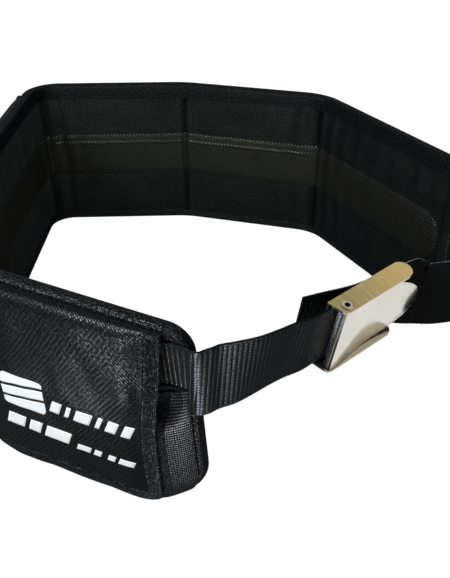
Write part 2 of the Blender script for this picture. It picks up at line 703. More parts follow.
def shell_off(run, z):
    """Outer face of the outer panel: slightly puffed, with a groove at each fold."""
    puff, _ = puff_map(run, z)
    off = 7.4 + 0.5 * puff + 0.16 * wobble(23, run, z, 22.0, 60.0)
    for fold in FOLDS:
        off = off - 1.3 * np.exp(-((run - fold) / 2.6) ** 2) \
            + 0.5 * np.exp(-((np.abs(run - fold) - 9.0) / 5.0) ** 2) \
            * np.sin(TURN * z / 41.0 + fold)
    return np.clip(off, 6.6, 8.3)


def ring_panel(name, offset, thickness, step, rows, mat, slot, node):
    """One face of the ring inside its rounded outline; positive thickness goes outward."""
    corner = END_BOTTOM - PANEL_GAP
    near = PANEL_GAP + corner * (1 - np.cos(np.linspace(0, math.pi / 2, 18)))
    middle = steps(PANEL_GAP + corner, LENGTH - PANEL_GAP - corner, step)
    run = np.unique(np.round(np.concatenate([near, middle, LENGTH - near]), 4))
    dist = np.minimum(run - PANEL_GAP, LENGTH - PANEL_GAP - run)
    low = PANEL_GAP + inset(dist, corner)
    high = H - PANEL_GAP - inset(dist, END_TOP - PANEL_GAP)
    z = low[:, None] + (high - low)[:, None] * np.linspace(0, 1, rows)[None, :]
    run = np.repeat(run[:, None], rows, 1)
    off = offset(run, z)
    ob = sheet(name, ring_point(run, off, z), ring_point(run, off + thickness, z),
               np.stack([run, z], -1), mat)
    ride(ob, "belt", slot, node)


ring_panel("lining_panel", lining_off, 0.75, 2.2, 74, MAT["lining"], "lining_nylon", "lining")
ring_panel("outer_panel", shell_off, -0.9, 3.0, 56, MAT["shell"], "outer_nylon", "outer_shell")


# ---------------------------------------------------------------- edge tape of the ring
def ring_outline():
    """Round the whole edge: run, z, inward direction (run, z), width of the tape's legs."""
    def corner(run, z, radius, angle, leg, next_leg, count):
        for k in range(1, count):
            a = math.radians(angle - 90.0 * k / count)
            rows.append((run + radius * math.cos(a), z + radius * math.sin(a), -math.cos(a),
                         -math.sin(a), leg + (next_leg - leg) * k / count))

    rows = [(run, H, 0.0, -1.0, BIND_TOP) for run in steps(END_TOP, LENGTH - END_TOP, 3.6)]
    corner(LENGTH - END_TOP, H - END_TOP, END_TOP, 90.0, BIND_TOP, BIND_END, 12)
    rows += [(LENGTH, z, -1.0, 0.0, BIND_END) for z in np.linspace(H - END_TOP, END_BOTTOM, 28)]
    corner(LENGTH - END_BOTTOM, END_BOTTOM, END_BOTTOM, 0.0, BIND_END, BIND_BOTTOM, 20)
    rows += [(run, 0.0, 0.0, 1.0, BIND_BOTTOM)
             for run in steps(END_BOTTOM, LENGTH - END_BOTTOM, 3.6)[::-1]]
    corner(END_BOTTOM, END_BOTTOM, END_BOTTOM, 270.0, BIND_BOTTOM, BIND_END, 20)
    rows += [(0.0, z, 1.0, 0.0, BIND_END) for z in np.linspace(END_BOTTOM, H - END_TOP, 28)]
    corner(END_TOP, H - END_TOP, END_TOP, 180.0, BIND_END, BIND_TOP, 12)
    return np.array(rows)


def tape_leg(leg):
    """One leg of the folded tape from its rim to the fold: (depth from the edge, bulge)."""
    fold = BIND_FOLD
    return [(leg, 0.45), (leg - 0.25, 0.1), (leg - 1.2, 0.0), (leg - BIND_STITCH, 0.28),
            (leg - 3.0, 0.0), (fold + 0.4 + (leg - 3.4 - fold) * 0.5, -0.12), (fold + 0.3, 0.0)]


def tape_section(leg, wave_in, wave_out):
    """Section of the folded tape (offset, depth): over its outside, back along its inside."""
    def fold(centre, angle):
        arc = [math.radians(angle + 15 * k) for k in range(7)]
        return [(centre + BIND_FOLD * math.cos(a), BIND_FOLD + BIND_FOLD * math.sin(a))
                for a in arc]

    points = [(BIND_IN + bulge, depth) for depth, bulge in tape_leg(leg + wave_in)]
    points += fold(BIND_IN + BIND_FOLD, 180) + fold(BIND_OUT - BIND_FOLD, 270)
    points += [(BIND_OUT - bulge, depth) for depth, bulge in tape_leg(leg + wave_out)[::-1]]
    points = np.array(points)
    way = unit_rows(np.gradient(points, axis=0))
    normal = np.stack([way[:, 1], -way[:, 0]], 1)
    middle = np.array([(BIND_IN + BIND_OUT) / 2, leg])
    side = np.sign(np.sum(normal * (middle - points), 1, keepdims=True))
    return np.concatenate([points, (points + normal * side * 0.72)[::-1]])


def edge_tape():
    outline = ring_outline()
    dist = travelled(outline[:, :2])
    waves = [0.35 * wobble(seed, dist, 0 * dist, 18.0, 70.0) for seed in (31, 37)]
    rings, row_in, row_out = [], [], []
    for (run, z, run_in, z_in, leg), wave_in, wave_out in zip(outline, *waves):
        section = tape_section(leg, wave_in, wave_out)
        rings.append(ring_point(run + run_in * section[:, 1], section[:, 0],
                                z + z_in * section[:, 1]))
        for row, off, wave in ((row_in, BIND_IN + 0.1, wave_in), (row_out, BIND_OUT - 0.1, wave_out)):
            depth = leg + wave - BIND_STITCH
            row.append(ring_point(run + run_in * depth, off, z + z_in * depth))
    rings = np.array(rings)
    # one section on the straight top gives the uv across the tape
    ob = loft("edge_tape", rings, uv_grid(dist, travelled(rings[40])), MAT["rim"], closed=True)
    ride(ob, "belt", "edge_tape", "edge_binding")

    def close(points):
        return np.concatenate([np.array(points), np.array(points)[:1]])

    out = outward(np.clip(outline[:, 0], 0, LENGTH))
    ob = stitches("edge_tape_stitches",
                  [(close(row_in), close(-out)), (close(row_out), close(out))],
                  pitch=3.3, length=2.5, radius=0.27)
    ride(ob, "belt", "edge_tape")


edge_tape()


# ---------------------------------------------------------------- grip band on the lining
def band_lift(run, z):
    """How far the band stands off the lining, without its dots."""
    back = smooth((run - FOLDS[2] - 6.0) / 16.0) * smooth((FOLDS[4] - 8.0 - run) / 16.0)
    strength = 0.22 + 0.78 * back
    ridge = np.exp(-((z - 89.4) / 1.15) ** 2)
    body = smooth((z - 55.0) / 5.0) * smooth((91.0 - z) / 2.6)
    flat = np.ones_like(run)
    for fold in FOLDS:
        flat = flat * (1 - 0.8 * np.exp(-((run - fold) / 5.0) ** 2))
    return 0.45 + (1.0 * ridge * strength + 0.55 * body * (0.5 + 0.5 * strength)) * flat


def grip_band():
    line = steps(BAND_START, BAND_END, 0.72, 0.6)
    dist = np.minimum(line - BAND_START, BAND_END - line)
    low = (BAND_Z0 + inset(dist, BAND_CORNER))[:, None]
    high = (BAND_Z1 - inset(dist, BAND_CORNER))[:, None]
    share = np.unique(np.round(np.concatenate([np.linspace(0, 1, 62),
                                               [0.004, 0.012, 0.988, 0.996]]), 5))
    z = low + (high - low) * share[None, :]
    run = np.repeat(line[:, None], len(share), 1)
    dots = (0.5 + 0.5 * np.cos(TURN * (run + z) / GRIP_PITCH)) \
        * (0.5 + 0.5 * np.cos(TURN * (run - z) / GRIP_PITCH))
    edge = np.minimum(np.minimum(z - low, high - z), dist[:, None])
    dots = 0.60 * smooth(dots * 1.25) * smooth((edge - 0.6) / 1.2)
    base = lining_off(run, z)
    front = ring_point(run, base - (band_lift(run, z) * taper(edge, 0.7, 0.15) + dots), z)
    ob = sheet("grip_band", front, ring_point(run, base - 0.12, z), np.stack([run, z], -1),
               MAT["grip"])
    ride(ob, "belt", "grip_mesh", "inner_band")


def band_stitches():
    def row(run, z):
        off = lining_off(run, z) - band_lift(run, z) - 0.1
        return ring_point(run, off, z), -outward(run)

    rows = [row(steps(BAND_START + 12.0, BAND_END - 12.0, 2.5), z)
            for z in (BAND_Z0 + BAND_STITCH, BAND_Z1 - BAND_STITCH)]
    # curved rows at the band's ends
    angle = np.linspace(-1.25, 1.25, 26)
    half = (BAND_Z1 - BAND_Z0) / 2
    for end, sign in ((BAND_START, 1), (BAND_END, -1)):
        rows.append(row(end + sign * (BAND_CORNER - (BAND_CORNER - BAND_STITCH) * np.cos(angle)),
                        BAND_Z0 + half + np.sin(angle) * (half - BAND_STITCH)))
    ob = stitches("grip_band_stitches", rows, pitch=2.9, length=2.1, radius=0.26)
    ride(ob, "belt", "grip_mesh")


grip_band()
band_stitches()


# ---------------------------------------------------------------- webbing
def ring_up(run):
    return unit(ring_point(run, WEB_OFF, WEB_Z + 10) - ring_point(run, WEB_OFF, WEB_Z - 10))


def strap(name, node, centres, ups, mat, phase=0.0):
    """Nylon webbing: round cross ribs, thicker woven selvedges, softly rounded edges."""
    dist, centre, up = resample(catmull(centres, 24), WEB_RIB / 9, catmull(ups, 24))
    way = np.gradient(centre, axis=0)
    blur = np.ones(9) / 9
    way = np.stack([np.convolve(np.pad(way[:, k], 4, "edge"), blur, "valid") for k in range(3)], -1)
    way = unit_rows(way)
    up = unit_rows(up - way * np.sum(up * way, 1, keepdims=True))
    normal = np.cross(way, up)
    rim = np.array([WEB_HALF, 24.6, 24.1, 23.4, 22.7])
    across = np.unique(np.round(np.concatenate([np.linspace(-24.9, 24.9, 27), -rim, rim]), 4))

    def ribs(pitch):
        x = ((dist / pitch + phase) % 1.0) * 2 - 1
        return np.sqrt(np.clip(1 - (0.97 * x) ** 2, 0, 1))[:, None]

    rib, fine_rib = ribs(WEB_RIB), ribs(WEB_RIB / 2)
    selvedge = smooth((np.abs(across) - 22.6) / 0.9)[None, :]
    jitter = 0.04 * wobble(41, dist[:, None], across[None, :] * 3.0, 1.6, 5.0)
    front = 0.12 + (0.68 * rib) * (1 - selvedge) + (0.50 * fine_rib + 0.12) * selvedge + jitter
    back = 0.32 + (0.40 * rib) * (1 - selvedge) + (0.30 * fine_rib + 0.08) * selvedge
    round_edge = taper(WEB_HALF - np.abs(across), 0.7, 0.2)[None, :]
    scallop = 0.12 * np.sin(TURN * dist / (WEB_RIB / 2))[:, None] * selvedge
    wide = across[None, :] + np.sign(across)[None, :] * scallop
    middle = centre[:, None, :] + up[:, None, :] * wide[..., None]
    ob = sheet(name, middle - normal[:, None, :] * (front * round_edge)[..., None],
               middle + normal[:, None, :] * (back * round_edge)[..., None],
               uv_grid(dist, across), mat)
    ride(ob, "belt", "webbing", node)


# left strap: runs on the ring, then free stations (centre, up), then (long, up) on the buckle
LEFT_RUNS = (126.0, 108.0, 90.0, 72.0, 54.0, 36.0, 18.0, 4.0)
LEFT_FREE = [((-14.9, -221.3, 118.9), (-0.03, -0.09, 0.995)),
             ((-8.8, -219.2, 118.6), (-0.005, -0.085, 0.996)),
             ((-2.5, -215.1, 118.3), (0.014, -0.086, 0.996)),
             ((7.1, -211.2, 118.1), (0.032, -0.111, 0.993)),
             ((17.2, -205.7, 118.1), (0.059, -0.168, 0.984)),
             ((27.9, -198.5, 118.3), (0.074, -0.205, 0.976)),
             ((36.5, -192.5, 118.2), (0.085, -0.21, 0.974))]
LEFT_BUCKLE = [(-12.0, 1.1), (-2.0, 0.8), (10.0, 0.5), (25.0, 0.5), (38.0, 0.5)]
LEFT_OUT = 2.7
# right strap: distances back from the ring's end, free centres, and (long, out, up) stations on
# the buckle: the approach, then the way behind it with `out` counted from RIGHT_OUT
RIGHT_RUNS = (132.0, 114.0, 96.0, 76.0, 56.0, 38.0, 20.0, 4.0)
RIGHT_FREE = [(212.0, -42.0, 114.0), (211.0, -78.0, 111.0), (188.0, -107.0, 110.0),
              (148.4, -122.0, 111.2)]
RIGHT_APPROACH = [(88.0, 6.4, -14.8), (77.0, 2.2, -9.0), (66.0, 2.4, -2.3), (58.0, 2.9, 0.0),
                  (53.6, 2.8, 0.0), (51.0, 2.72, 0.0), (48.6, 2.1, 0.0), (45.6, 0.7, 0.0),
                  (43.0, -0.5, 0.0)]
RIGHT_OUT = -1.1
RIGHT_BEHIND = [(41.2, 0.06, 0.0), (38.6, 0.0, 0.0), (28.0, -1.4, 0.0), (17.0, -4.2, 0.2),
                (5.0, -8.0, 0.4), (-7.0, -11.5, 0.6)]


def left_strap():
    centres = [ring_point(run, WEB_OFF, WEB_Z + WEB_LEFT_UP) for run in LEFT_RUNS]
    centres += [np.array(centre) + SHIFT for centre, _ in LEFT_FREE]
    centres += [buckle_point(long, LEFT_OUT, up) for long, up in LEFT_BUCKLE]
    ups = [ring_up(run) for run in LEFT_RUNS] + [np.array(up) for _, up in LEFT_FREE]
    ups += [BUCKLE_UP] * len(LEFT_BUCKLE)
    strap("left_strap", "webbing_left", centres, ups, MAT["web_front"])


def right_strap():
    centres = [ring_point(LENGTH - back, WEB_OFF, WEB_Z) for back in RIGHT_RUNS]
    centres += [ring_point(LENGTH + 9.0, WEB_OFF + 1.6, WEB_Z)]
    centres += [np.array(p) + SHIFT for p in RIGHT_FREE]
    centres += [buckle_point(*p) for p in RIGHT_APPROACH]
    centres += [buckle_point(long, RIGHT_OUT + out, up) for long, out, up in RIGHT_BEHIND]
    ups = []
    for i, centre in enumerate(centres):
        # off the ring, the strap turns from upright to the buckle's tilt
        share = float(smooth((150.0 + CENTRE_X - centre[0]) / 56.0)) if i >= len(RIGHT_RUNS) else 0.0
        ups.append(np.array((0, 0, 1.0)) * (1 - share) + BUCKLE_UP * share)
    strap("right_strap", "webbing_right", centres, ups, MAT["web"], phase=0.3)


left_strap()
right_strap()

# ---------------------------------------------------------------- pockets
# section of a flap's outer face from its root (z, offset)
FLAP_PTS = [(140.5, 9.0), (143.6, 9.7), (145.4, 11.9), (144.1, 14.8), (139.5, 17.2), (130.0, 19.6),
            (117.0, 22.8), (104.0, 26.5), (92.0, 29.2), (76.0, 31.0), (56.0, 31.4), (36.0, 31.1),
            (15.5, 29.9)]
FLAP_CURVE = catmull([np.array(p) for p in FLAP_PTS], 16)
FLAP_DOWN = travelled(FLAP_CURVE)
FLAP_LEN = FLAP_DOWN[-1]
BAG_LEVELS = np.concatenate([[14.0, 14.6, 16.0], np.linspace(18.5, 97.5, 30), [99.0, 99.7, 100.0]])
# section of the tape over the pocket's mouth (outward, up), from the mouth line
MOUTH_SECTION = [(0.45, -6.0), (0.55, -5.2), (0.5, -1.0), (0.3, 0.35), (-0.45, 0.75), (-1.2, 0.35),
                 (-1.4, -1.0), (-1.45, -5.2), (-1.35, -6.0), (-1.0, -6.0), (-1.0, -0.6),
                 (0.1, -0.6), (0.1, -6.0)]
# section of the flap's tape (share of its width in from the edge, height over the flap)
FLAP_SECTION = [(1.0, 0.10), (0.985, 0.42), (0.9, 0.55), (0.80, 0.34), (0.70, 0.55), (0.45, 0.66),
                (0.2, 0.58), (0.06, 0.42), (-0.06, -0.05), (-0.10, -0.75), (-0.06, -1.45),
                (0.06, -1.95), (0.2, -2.02), (0.52, -2.02), (0.56, -1.85), (0.5, -1.58),
                (0.12, -1.58), (0.03, -1.3), (0.0, -0.75), (0.03, -0.2), (0.14, 0.05), (0.6, 0.08)]
PAD_HALF, PAD_Z0, PAD_Z1 = 47.6, 20.5, 57.5


def flap_off(down):
    return np.interp(down, FLAP_DOWN, FLAP_CURVE[:, 1])


def flap_z(down):
    return np.interp(down, FLAP_DOWN, FLAP_CURVE[:, 0])


def down_at(z):
    """Distance down the flap's outer side at a height."""
    top = np.argmax(FLAP_CURVE[:, 0])
    return np.interp(-z, -FLAP_CURVE[top:, 0], FLAP_DOWN[top:])


def flap_half(down):
    """Half width of the flap at a distance down from its root."""
    share = np.clip((HINGE_Z - flap_z(down)) / (HINGE_Z - FLAP_PTS[-1][0]), 0, 1)
    half = (FLAP_W_TOP + (FLAP_W_BOTTOM - FLAP_W_TOP) * share) / 2
    low = np.clip(down - (FLAP_LEN - FLAP_CORNER), 0, FLAP_CORNER)
    return half - (FLAP_CORNER - np.sqrt(np.maximum(0.0, FLAP_CORNER ** 2 - low ** 2)))


def bag_front(z):
    return flap_off(down_at(z)) - FLAP_T - 2.4


def gusset_edge(z):
    """Run where the first pocket's spread side meets the ring."""
    return np.maximum(3.0, inset(z, END_BOTTOM) + 1.8)


def bag_loop(start, end, back, front, radius, spread, ribs=1, sides=92, faces=22, rib=0.0, bow=0.0):
    """One closed level of a bag: runs, offsets and kinds (0 front, 1 ribbed side, 2 back)."""
    def face(first, last, off, kind):
        return [(first + (last - first) * (k / (faces - 1)), off, kind) for k in range(faces)]

    def corner(run, angles):
        return [(run + radius * math.cos(math.radians(a)),
                 front - radius + radius * math.sin(math.radians(a)), 0) for a in angles]

    def side(run, sign, first, last):
        points = []
        for k in range(1, sides):
            u = k / sides
            bump = abs(math.sin(math.pi * ribs * u)) ** 0.75
            points.append((run + sign * rib * bump + sign * bow * math.sin(math.pi * u),
                           first + (last - first) * u, 1))
        return points

    points = face(end - radius, start + radius, front, 0)
    points += corner(start + radius, (112.5, 135.0, 157.5, 180.0))
    points += side(start, -1, front - radius, back)
    points += face(start, end, back, 2)
    points += side(end, 1, back, front - radius)
    points += corner(end - radius, (0.0, 22.5, 45.0, 67.5))
    run, off, kind = np.array(points).T
    # the start side spreads out towards the ring
    share = (front - off) / (front - back) \
        * np.maximum(0.0, ((start + end) / 2 - run) / ((end - start) / 2))
    return run - spread * np.minimum(1.0, share), off, kind


class Pocket:
    """Pocket i in its own straight frame. The first one's start side is spread and open."""

    def __init__(self, i):
        self.i, self.number, self.first = i, i + 1, i == 0
        self.mid = FLAP_MIDS[i]
        self.start, self.end = self.mid - POCKET_W / 2, self.mid + POCKET_W / 2
        self.home = [float(v) for v in plan_at(np.array(self.mid))]
        self.lean = float(lean(np.array(self.mid)))
        self.out = np.array((-self.home[3], self.home[2], 0.0))
        self.body = "flap_%d" % self.number

    def point(self, run, off, z):
        run, off, z = np.broadcast_arrays(*(np.asarray(v, float) for v in (run, off, z)))
        x, y, tx, ty = self.home
        along = run - self.mid
        out = off + (lean(run) if self.first else self.lean) * (z - H)
        return np.stack([x + tx * along - ty * out + CENTRE_X,
                         y + ty * along + tx * out + CENTRE_Y, z + rise(run, z)], -1)

    def spread(self, z):
        return self.start - float(gusset_edge(z)) if self.first else 0.0

    def gather(self, run, off, z):
        """The open side of the first pocket's mouth is drawn towards the ring."""
        if not self.first:
            return off
        pull = 0.86 * smooth((self.mid - 50.0 - run) / 13.0) * smooth((z - 78.0) / 20.0)
        return POCKET_BACK + (off - POCKET_BACK) * (1 - pull)

    def mouth_rise(self, run, off, front):
        """The first pocket's mouth climbs towards the ring on its open side."""
        if not self.first:
            return 0 * run
        near = np.clip((front - off) / (front - POCKET_BACK), 0.0, 1.0)
        return smooth((self.mid - 46.0 - run) / 26.0) * (4.0 + 8.0 * near)

    def sag(self, run, z):
        return np.minimum(0.35 * wobble(151 + self.i, run, z, 25.0, 60.0), 0.3)

    def crown(self, x, down):
        """Height of the flap's face over its section: x across, down from the root."""
        side = np.abs(x)
        drop = 2.7 * smooth((side - 45.0) / 21.0) * smooth((down - 6.0) / 12.0)
        top = 1.25 * np.exp(-((down - 17.0) / 9.0) ** 2) * smooth((66.0 - side) / 18.0)
        low = -0.5 * smooth((down - FLAP_LEN + 17.0) / 14.0)
        broad = 0.50 * wobble(101 + self.i, x, down * 1.1, 34.0, 90.0) \
            * smooth((down - 12.0) / 20.0) * smooth((64.0 - side) / 14.0)
        fine = 0.15 * wobble(131 + self.i, x, down, 12.0, 26.0, 7) * smooth((down - 12.0) / 20.0)
        fold = 0.0
        if self.i in (0, 3):
            # soft slanted fold on one side
            across = (x + 61.0) * 0.62 + (down - 58.0) * 0.78
            fold = 0.85 * np.exp(-(across / 8.0) ** 2) * smooth((x + 68.0) / 16.0) \
                * smooth((6.0 - x) / 46.0)
        middle = 0.4 * smooth((60.0 - side) / 50.0) * smooth((down - 30.0) / 25.0) \
            * smooth((FLAP_LEN - 14.0 - down) / 20.0)
        return -drop + top + low + broad + fine + fold + middle

    def flap_point(self, x, down):
        x, down = np.broadcast_arrays(np.asarray(x, float), np.asarray(down, float))
        z = flap_z(down)
        if self.first:
            z = z + 3.0 * smooth((z - 112.0) / 30.0)
        return self.point(self.mid + x, flap_off(down) + self.crown(x, down), z)

    def flap_normal(self, x, down):
        def cross(x, down, above, below):
            return np.cross(self.flap_point(x + reach, down) - self.flap_point(x - reach, down),
                            self.flap_point(x, below) - self.flap_point(x, above))

        reach = 0.7
        normal = cross(x, down, np.maximum(down - reach, 0.0), np.minimum(down + reach, FLAP_LEN))
        normal /= np.maximum(np.linalg.norm(normal, axis=-1, keepdims=True), 1e-9)
        if cross(0.0, 60.0, 60.0 - reach, 60.0 + reach) @ self.out < 0:
            normal = -normal
        return normal

    def hinge(self, ob, slot, *nodes):
        """Let the object bend between the belt and the flap."""
        if nodes:
            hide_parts(*nodes)
        start = self.point(self.mid, HINGE_OFF - 0.3, HINGE_Z)
        end = self.point(self.mid, HINGE_OFF + 6.5, HINGE_Z - 2.5)
        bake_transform(ob)

    def bag(self):
        """Open bag with ribbed sides: up the outside, over the mouth and down the inside."""
        ribs, rib, bow = (13, 0.55, 1.5) if self.first else (9, 0.35, -1.2)
        outer, inner, uvs = [], [], []
        for z in BAG_LEVELS:
            share = (z - POCKET_Z0) / (POCKET_Z1 - POCKET_Z0)
            belly = bow * (0.9 * math.sin(math.pi * share) ** 0.8)
            tuck = 1.6 * (1 - min(1.0, (z - POCKET_Z0) / 3.0)) ** 2
            front = float(bag_front(z)) - BAG_EASE - tuck
            spread = self.spread(z)
            run, raw, kinds = bag_loop(self.start + tuck * 0.8, self.end - tuck * 0.8,
                                       POCKET_BACK + 0.1, front, 5.0, spread, ribs, rib=rib,
                                       bow=belly)
            climb = self.mouth_rise(run, raw, front) * share ** 3
            off = self.gather(run, raw, z)
            sag = np.where(kinds == 0, self.sag(run, z), 0.0)
            outer.append(self.point(run, off + sag, z + climb))
            seam = travelled(np.stack([run, off], -1))
            uvs.append(np.stack([seam, np.full(len(seam), z)], -1))
            run, off, _ = bag_loop(self.start + BAG_WALL, self.end - BAG_WALL,
                                   POCKET_BACK + BAG_WALL, front - BAG_WALL, 4.3, spread * 0.98,
                                   bow=belly)
            inner.append(self.point(run, self.gather(run, off, z) + sag,
                                    max(z, POCKET_Z0 + BAG_WALL) + climb))
        # the two lowest inner levels would coincide, so they are left out
        rings = np.array(outer + inner[:1:-1])
        uvs = np.array(uvs + uvs[:1:-1])
        rows, cols = rings.shape[:2]
        faces = grid_faces(rows, cols, 0, True)
        faces += [tuple(range(cols))[::-1], tuple(range((rows - 1) * cols, rows * cols))]
        ribbed = (kinds == 1) & (np.roll(kinds, -1) == 1)
        ob = make("pocket_bag_%d" % self.number, rings.reshape(-1, 3), faces,
                  [MAT["pocket"], MAT["gusset"]], uvs.reshape(-1, 2),
                  np.concatenate([np.tile(ribbed, rows - 1), [0, 0]]))
        ride(ob, "belt", "pocket_nylon", "pocket_%d" % self.number)

    def mouth_tape(self):
        front = float(bag_front(POCKET_Z1)) - BAG_EASE
        run, off, _ = bag_loop(self.start, self.end, POCKET_BACK + 0.1, front, 5.0,
                               self.spread(POCKET_Z1), sides=14, faces=30)
        climb = self.mouth_rise(run, off, front)
        line = np.stack([run, self.gather(run, off, POCKET_Z1)], -1)
        way = unit_rows(np.roll(line, -1, 0) - np.roll(line, 1, 0))
        normal = np.stack([way[:, 1], -way[:, 0]], 1)
        normal *= np.sign(np.sum(normal * (line - line.mean(0)), 1, keepdims=True) + 1e-9)
        # on the first pocket's open side the tape thins out
        thin = 1 - 0.9 * (smooth((self.mid - 46.0 - run) / 12.0) if self.first else 0 * run)
        rings = []
        for out, up in MOUTH_SECTION:
            step = out * thin - 0.45 * (1 - thin)
            rings.append(self.point(line[:, 0] + normal[:, 0] * step,
                                    np.maximum(line[:, 1] + normal[:, 1] * step,
                                               POCKET_BACK - 0.05),
                                    POCKET_Z1 + up * thin + climb))
        ob = loft("pocket_mouth_tape_%d" % self.number, np.array(rings).transpose(1, 0, 2),
                  uv_grid(travelled(line), np.array([up for _, up in MOUTH_SECTION])),
                  MAT["binding"], closed=True)
        ride(ob, "belt", "edge_tape")

    def flap(self):
        line = steps(0.0, FLAP_LEN, 1.9, 0.8)
        share = np.concatenate([steps(-1.0, 1.0, 0.03), [-0.998, -0.99, 0.99, 0.998]])
        share = np.unique(np.round(share, 4))
        down = np.repeat(line[:, None], len(share), 1)
        half = flap_half(line)[:, None]
        x = half * share[None, :]
        normal = self.flap_normal(x, down)
        edge = np.minimum(np.minimum(down, FLAP_LEN - down), half - np.abs(x))
        thick = taper(edge, 0.8, 0.25)[..., None]
        middle = self.flap_point(x, down) - normal * 0.75
        ob = sheet("flap_cloth_%d" % self.number, middle + normal * 0.72 * thick,
                   middle - normal * 0.72 * thick, np.stack([x, down], -1), MAT["flap"])
        self.hinge(ob, "flap_nylon", "flap_%d" % self.number)

    def flap_tape(self):
        """Tape down the sides and along the bottom of the flap, and the flap's stitches."""
        corner = FLAP_CORNER
        # outline rows: x, down, inward direction (x, down)
        side = [(-float(flap_half(down)), down, 1.0, 0.0)
                for down in steps(8.0, FLAP_LEN - corner, 3.0)]
        half = float(flap_half(FLAP_LEN - corner - 0.01))
        for k in range(1, 12):
            a = math.radians(90.0 * k / 12)
            side.append((-half + corner - corner * math.cos(a),
                         FLAP_LEN - corner + corner * math.sin(a), math.cos(a), -math.sin(a)))
        bottom = [(x, FLAP_LEN, 0.0, -1.0) for x in steps(-half + corner, half - corner, 3.0)]
        other = [(-x, down, -x_in, down_in) for x, down, x_in, down_in in side[::-1]]
        path = np.array(side + bottom + other)
        dist = travelled(path[:, :2])
        width = FLAP_TAPE_W + 0.3 * wobble(171 + self.i, dist, 0 * dist, 20.0, 60.0)
        rings = []
        for share, height in FLAP_SECTION:
            depth = share * (width if share >= 0 else FLAP_TAPE_W)
            x = path[:, 0] + path[:, 2] * depth
            wanted = path[:, 1] + path[:, 3] * depth
            down = np.clip(wanted, 0, FLAP_LEN)
            points = self.flap_point(x, down) + self.flap_normal(x, down) * height
            # what reaches past the lower edge hangs straight down
            points[:, 2] -= wanted - down
            rings.append(points)
        across = np.array([share * FLAP_TAPE_W for share, _ in FLAP_SECTION])
        ob = loft("flap_tape_%d" % self.number, np.array(rings).transpose(1, 0, 2),
                  uv_grid(dist, across), MAT["binding"])
        self.hinge(ob, "edge_tape")

        # one row along the tape and one across the flap's top
        top = steps(-66.0, 66.0, 3.0)
        rows = []
        for x, down, height in ((path[:, 0] + path[:, 2] * width * 0.8,
                                 path[:, 1] + path[:, 3] * width * 0.8, 0.36),
                                (top, 12.0 + 0 * top, 0.02)):
            normal = self.flap_normal(x, down)
            rows.append((self.flap_point(x, down) + normal * height, normal))
        ob = stitches("flap_stitches_%d" % self.number, rows, pitch=3.0, length=2.25, radius=0.26)
        self.hinge(ob, "edge_tape")

    def pads(self):
        """Hook tape under the flap and loop tape on the bag."""
        x, z = np.meshgrid(steps(-PAD_HALF, PAD_HALF, 2.4, 0.6), steps(PAD_Z0, PAD_Z1, 1.6, 0.6))
        uv = np.stack([x, z], -1)
        edge = np.minimum(PAD_HALF - np.abs(x), np.minimum(z - PAD_Z0, PAD_Z1 - z))
        thick = taper(edge, 0.6, 0.3)[..., None]
        down = down_at(z)
        normal = self.flap_normal(x, down)
        middle = self.flap_point(x, down) - normal * 1.95
        ob = sheet("hook_pad_%d" % self.number, middle + normal * 0.35 * thick,
                   middle - normal * 0.33 * thick, uv, MAT["hook"])
        ride(ob, self.body, "hook_tape", "hook_strip_%d" % self.number)
        front = bag_front(z) - BAG_EASE + self.sag(self.mid + x, z)
        middle = self.point(self.mid + x, front + 0.42, z)
        normal = self.out[None, None, :]
        ob = sheet("loop_pad_%d" % self.number, middle + normal * 0.36 * thick,
                   middle - normal * 0.36 * thick, uv, MAT["loop"])
        ride(ob, "belt", "loop_tape", "loop_strip_%d" % self.number)


# ---------------------------------------------------------------- print on the first flap
# a rounded square cut into three bands: centre (x, up from the flap's lower edge), and each
# band's upper and lower edge (distance below the centre, slope)
MARK_X, MARK_UP, MARK_HALF = 23.0, 67.5, 15.6
MARK_BANDS = [((-12.6, 0.0), (-6.6, 0.14)), ((-4.4, 0.14), (2.6, 0.14)), ((4.8, 0.14), (12.6, 0.0))]
# rows of slanted bars: letter, top and bottom up from the flap's lower edge, ends of each bar (x)
BAR_ROWS = [
    ("a", 70.0, 60.5, [(2.4, -4.6), (-8.4, -11.4), (-15.2, -26.2), (-30.0, -33.0), (-36.8, -43.8),
                       (-47.6, -53.6)]),
    ("b", 46.0, 35.0, [(40.5, 27.0), (23.4, 14.4), (10.8, -7.2)]),
    ("c", 38.6, 33.0, [(-11.5, -21.0), (-23.6, -28.6), (-33.5, -38.5), (-41.1, -51.5)]),
]
BAR_SHEAR = 0.42


def printed_flap(pocket):
    def patch(name, x, down):
        normal = pocket.flap_normal(x, down)
        face = pocket.flap_point(x, down)
        ob = sheet(name, face + normal * 0.16, face - normal * 0.02, np.stack([x, down], -1),
                   MAT["print"])
        ride(ob, pocket.body, "flap_nylon")

    for k, ((top, top_slope), (low, low_slope)) in enumerate(MARK_BANDS):
        u, v = np.meshgrid(np.linspace(-1, 1, 44), np.linspace(0, 1, 9))
        half = MARK_HALF - 3.0 * np.clip(np.abs((v + k - 1.5) / 1.5) - 0.72, 0, 1) ** 2 * 9
        x = u * half
        upper = top + top_slope * x
        lower = low + low_slope * x
        patch("print_mark_%d" % (k + 1), MARK_X + x,
              FLAP_LEN - MARK_UP + upper + (lower - upper) * v)
    for letter, top, low, bars in BAR_ROWS:
        start, end = FLAP_LEN - top, FLAP_LEN - low
        for k, (first, last) in enumerate(bars, 1):
            u, v = np.meshgrid(steps(0, 1, 1 / max(4, int(abs(last - first) / 1.5))),
                               np.linspace(0, 1, 8))
            down = start + (end - start) * v
            patch("print_bar_%s%d" % (letter, k),
                  first + (last - first) * u + BAR_SHEAR * (down - (start + end) / 2), down)


